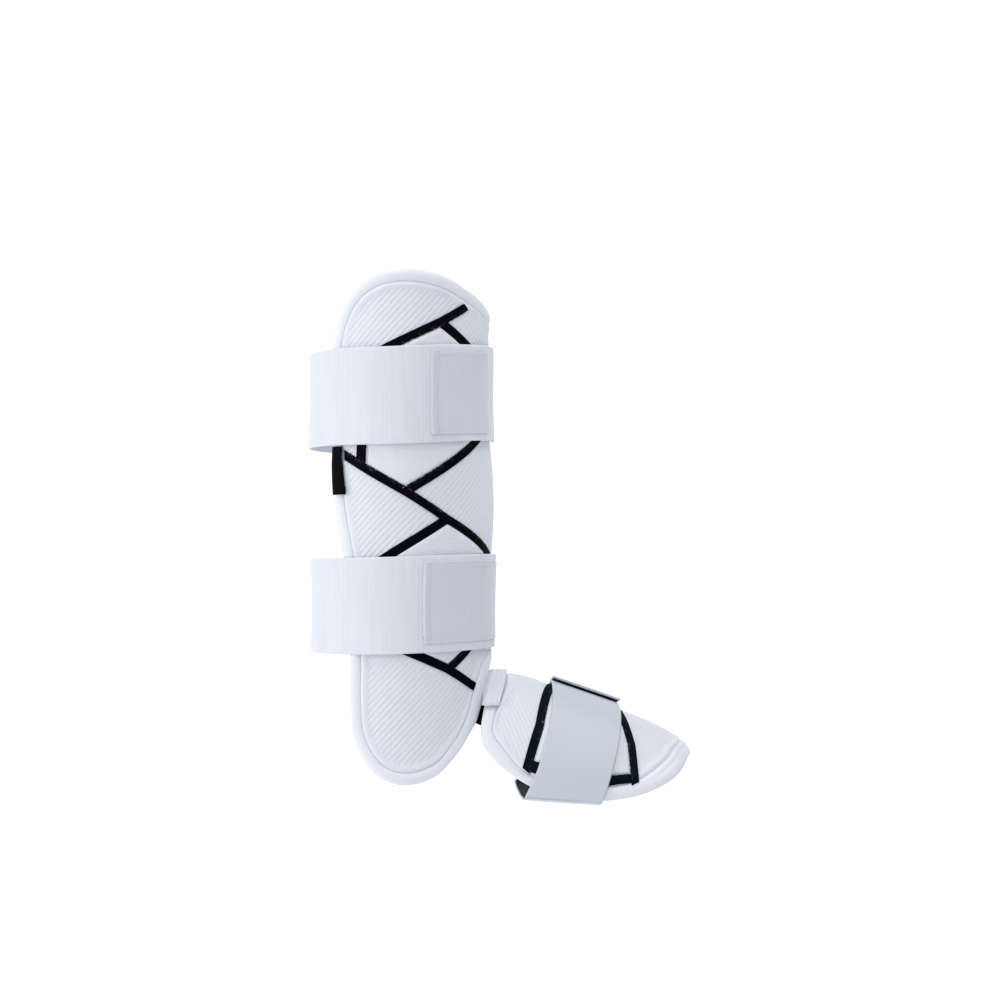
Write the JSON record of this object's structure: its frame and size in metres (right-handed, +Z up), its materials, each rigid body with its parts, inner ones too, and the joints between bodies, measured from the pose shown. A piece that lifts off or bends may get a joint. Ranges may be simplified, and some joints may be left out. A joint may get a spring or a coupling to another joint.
{
  "type": "batters leg guard",
  "caption": "White batter's leg guard: padded shin shield with ankle lobe, elastic calf straps, hinged padded foot shield with strap",
  "frame": {"origin": "the leg's axis at the height of the ankle joint, inside the shin shield", "axes": "+Z up the leg, +X forward to the toe, +Y to the far side of the leg, away from the ankle lobe"},
  "size_m": [0.2597, 0.1097, 0.3532],
  "materials": {
    "face": "ribbed matte",
    "binding": "smooth matte",
    "loop": "brushed loop pile",
    "band": "satin film",
    "foot_band": "satin film",
    "elastic": "woven elastic",
    "foot_strap": "smooth coated cloth",
    "black_cloth": "woven matte"
  },
  "bodies": {
    "root": {"shin_shield": "face", "shin_binding": "binding", "foot_shield": "face", "foot_binding": "binding", "upper_band_top_rear": "band", "upper_band_top_front": "band", "upper_band_front": "band", "upper_band_low_front": "band", "upper_band_rear": "band", "middle_band": "band", "lower_band_top_rear": "band", "lower_band_rear": "band", "lower_band_low_rear": "band", "lower_band_low_front": "band", "lower_band_front": "band", "upper_loop_patch": "loop", "lower_loop_patch": "loop", "upper_calf_strap": "elastic", "upper_strap_tab": "elastic", "lower_calf_strap": "elastic", "lower_strap_tab": "elastic", "side_tag": "black_cloth", "foot_band_rear": "foot_band", "foot_band_front": "foot_band", "foot_band_low": "foot_band", "foot_loop_patch": "loop", "foot_strap": "foot_strap", "ankle_elastic": "elastic", "ankle_strap": "black_cloth"}
  },
  "joints": []
}
